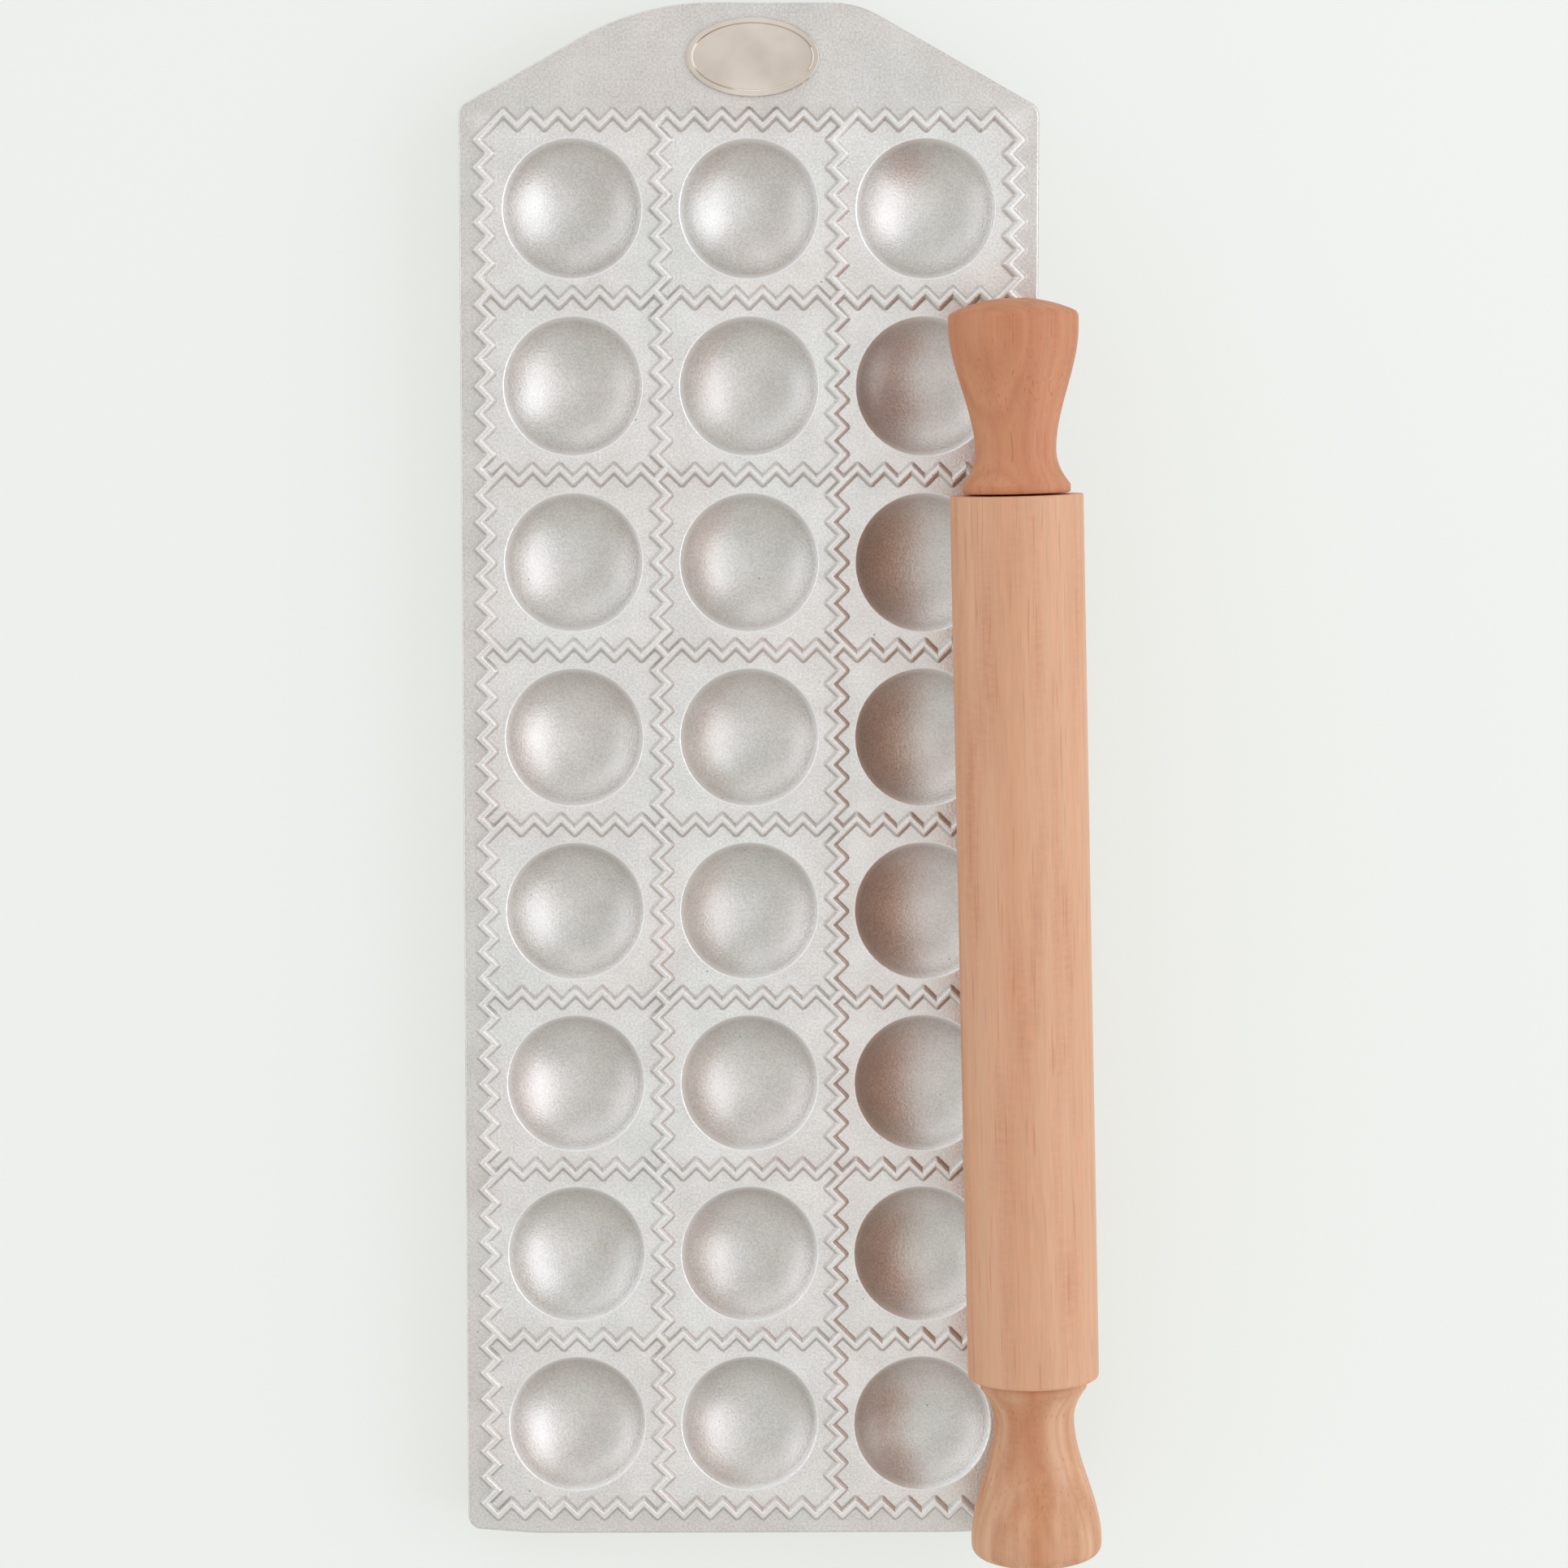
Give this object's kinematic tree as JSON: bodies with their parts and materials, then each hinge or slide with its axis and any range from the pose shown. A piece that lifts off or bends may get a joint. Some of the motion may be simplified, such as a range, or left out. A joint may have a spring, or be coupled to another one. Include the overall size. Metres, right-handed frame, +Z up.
{
  "type": "ravioli mould",
  "caption": "Cast metal ravioli tray with round wells, zigzag cutting ridges and a bare oval badge plate, with its small turned wooden rolling pin lying along one side.",
  "frame": {"origin": "under the middle of the whole set's box, on the surface that the tray stands on", "axes": "+Z up, out of the tray's face; +Y along the tray towards its head; +X across it towards the rolling pin"},
  "size_m": [0.1314, 0.3196, 0.0427],
  "materials": {
    "cast_aluminium": "cast, bead-blasted to a fine matt grain",
    "nickel_plate": "stamped and nickel plated, softly polished",
    "steel": "bright drawn steel",
    "nylon": "moulded natural nylon",
    "barrel_beech": "turned pale beech, sanded, bare",
    "upper_handle_beech": "turned reddish beech, sanded, bare",
    "lower_handle_beech": "turned warm beech, sanded, bare"
  },
  "bodies": {
    "tray": {"mould_tray": "cast_aluminium", "badge_plate": "nickel_plate", "badge_push_nut_left": "steel", "badge_push_nut_right": "steel"},
    "axle": {"pin_axle": "steel", "thrust_washer_upper": "steel", "thrust_washer_lower": "steel"},
    "barrel": {"pin_barrel": "barrel_beech", "barrel_bush_upper": "nylon", "barrel_bush_lower": "nylon"},
    "handle_upper": {"pin_handle_upper": "upper_handle_beech"},
    "handle_lower": {"pin_handle_lower": "lower_handle_beech"}
  },
  "joints": [
    {"name": "pin_lift", "type": "slide", "parent": "tray", "child": "axle", "axis": [0, 0, 1], "range_m": [0, 0.15]},
    {"name": "barrel_spin", "type": "hinge", "parent": "axle", "child": "barrel", "pos_m": [0.04927, -0.02984, 0.02925], "axis": [-0.0244, 0.9997, 0], "continuous": true},
    {"name": "upper_handle_spin", "type": "hinge", "parent": "axle", "child": "handle_upper", "pos_m": [0.04927, -0.02984, 0.02925], "axis": [-0.0244, 0.9997, 0], "continuous": true},
    {"name": "lower_handle_spin", "type": "hinge", "parent": "axle", "child": "handle_lower", "pos_m": [0.04927, -0.02984, 0.02925], "axis": [-0.0244, 0.9997, 0], "continuous": true}
  ]
}
